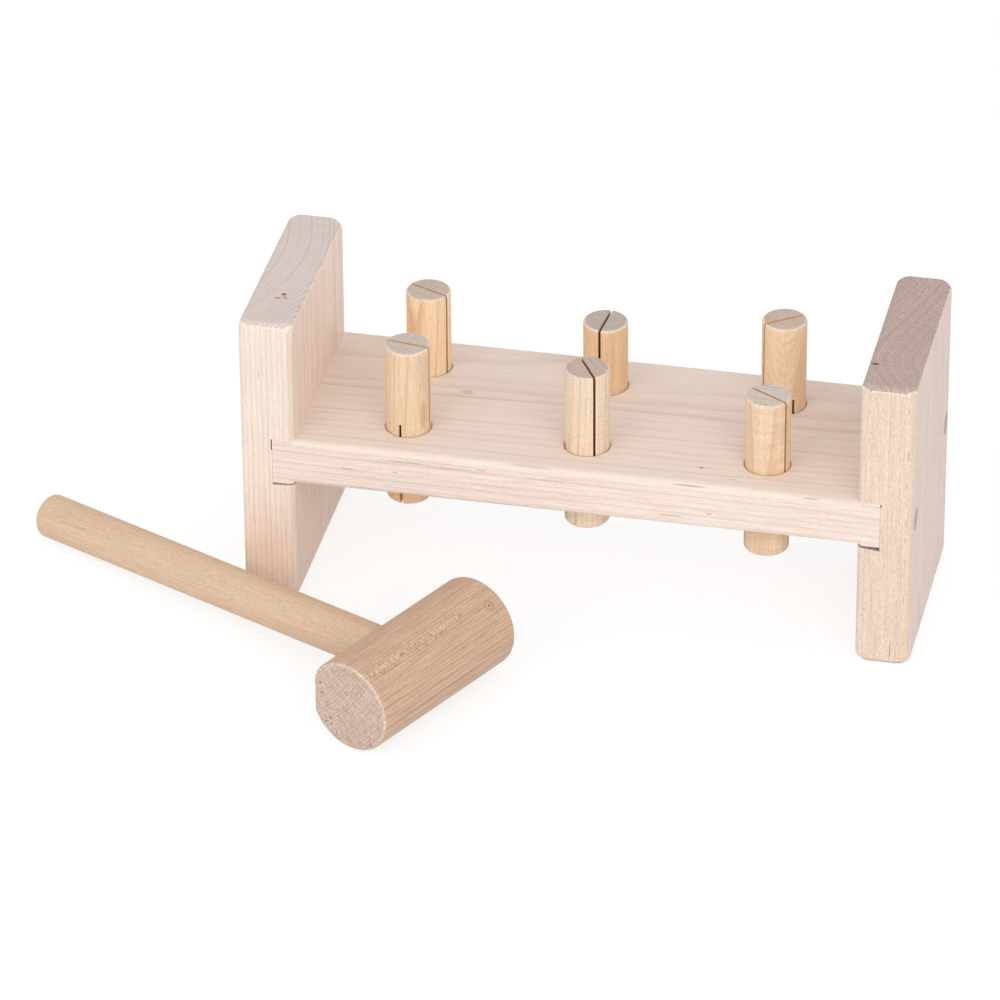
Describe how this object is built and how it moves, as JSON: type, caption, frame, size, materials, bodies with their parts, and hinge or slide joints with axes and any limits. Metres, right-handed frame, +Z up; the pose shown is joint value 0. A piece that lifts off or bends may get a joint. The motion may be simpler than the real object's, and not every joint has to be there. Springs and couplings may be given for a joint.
{
  "type": "peg pounding bench",
  "caption": "Reversible wooden pounding bench: round sprung pegs slide through its deck when they are struck, and a round-headed mallet lies beside it.",
  "frame": {"origin": "on the floor, under the middle of the box round the bench and the mallet together", "axes": "+X along the bench, towards its right end board; +Y from the bench's front to its rear, so the mallet lies on the -Y side; +Z up"},
  "size_m": [0.4026, 0.221, 0.1406],
  "materials": {
    "bench_wood": "pale maple, planed and sanded, unfinished",
    "dowel_wood": "dowel end grain, sanded flush",
    "peg_wood": "dowel rod, warm yellow, sawn kerfs",
    "head_wood": "turned block, tan, fine lengthwise pores",
    "handle_wood": "dowel rod, pale yellow, short flecks"
  },
  "bodies": {
    "bench": {"deck": "bench_wood", "left_end_board": "bench_wood", "right_end_board": "bench_wood", "left_front_dowel": "dowel_wood", "left_rear_dowel": "dowel_wood", "right_front_dowel": "dowel_wood", "right_rear_dowel": "dowel_wood"},
    "front_left": {"front_left_peg": "peg_wood"},
    "front_middle": {"front_middle_peg": "peg_wood"},
    "front_right": {"front_right_peg": "peg_wood"},
    "rear_left": {"rear_left_peg": "peg_wood"},
    "rear_middle": {"rear_middle_peg": "peg_wood"},
    "rear_right": {"rear_right_peg": "peg_wood"},
    "mallet": {"mallet_head": "head_wood", "mallet_handle": "handle_wood"}
  },
  "joints": [
    {"name": "front_left_slide", "type": "slide", "parent": "bench", "child": "front_left", "axis": [0, 0, 1], "range_m": [-0.042, 0.013]},
    {"name": "front_middle_slide", "type": "slide", "parent": "bench", "child": "front_middle", "axis": [0, 0, 1], "range_m": [-0.0395, 0.0155]},
    {"name": "front_right_slide", "type": "slide", "parent": "bench", "child": "front_right", "axis": [0, 0, 1], "range_m": [-0.035, 0.02]},
    {"name": "rear_left_slide", "type": "slide", "parent": "bench", "child": "rear_left", "axis": [0, 0, 1], "range_m": [-0.0395, 0.0155]},
    {"name": "rear_middle_slide", "type": "slide", "parent": "bench", "child": "rear_middle", "axis": [0, 0, 1], "range_m": [-0.033, 0.022]},
    {"name": "rear_right_slide", "type": "slide", "parent": "bench", "child": "rear_right", "axis": [0, 0, 1], "range_m": [-0.043, 0.012]},
    {"name": "mallet_lift", "type": "slide", "parent": "bench", "child": "mallet", "axis": [0, 0, 1], "range_m": [0, 0.2]}
  ]
}
